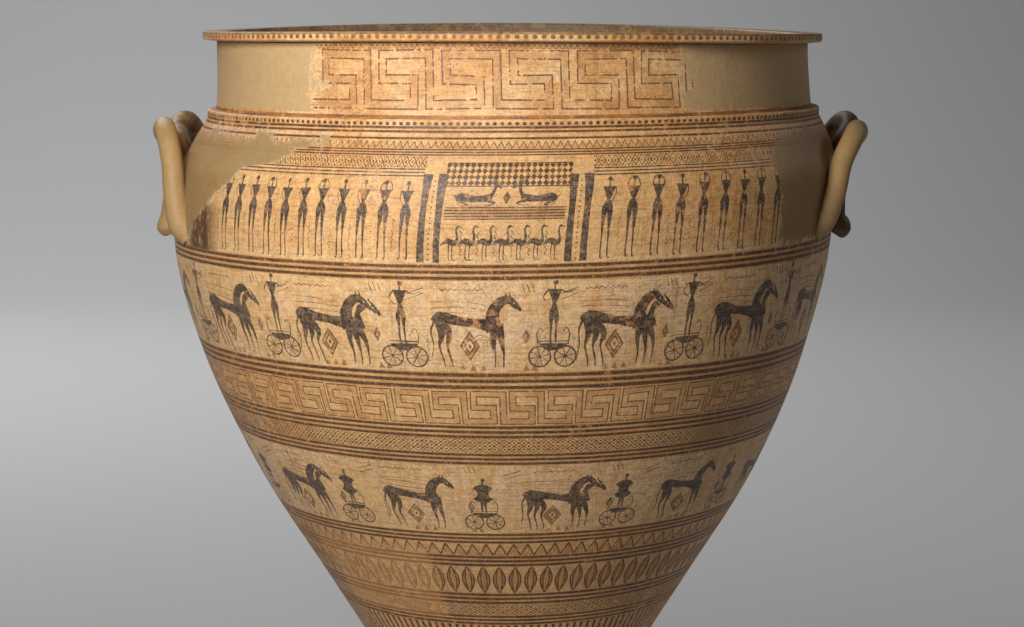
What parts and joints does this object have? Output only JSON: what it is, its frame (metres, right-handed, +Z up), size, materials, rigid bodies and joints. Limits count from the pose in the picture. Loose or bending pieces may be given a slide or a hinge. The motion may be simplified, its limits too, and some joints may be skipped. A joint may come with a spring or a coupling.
{
  "type": "geometric krater vase",
  "caption": "Large footed mixing bowl of fired clay with painted bands, a straight neck, a flat lip, a hollow pedestal foot and double-loop handles.",
  "frame": {"origin": "centre of the base, on the surface that the foot stands on", "axes": "+Z up, the handles lie along X, and -Y faces the viewer of the better preserved side"},
  "size_m": [0.839, 0.778, 1.0919],
  "materials": {
    "fired_clay": "matt fired clay, buff to orange, with bands and figures in dark slip"
  },
  "bodies": {
    "root": {"krater": "fired_clay"}
  },
  "joints": []
}
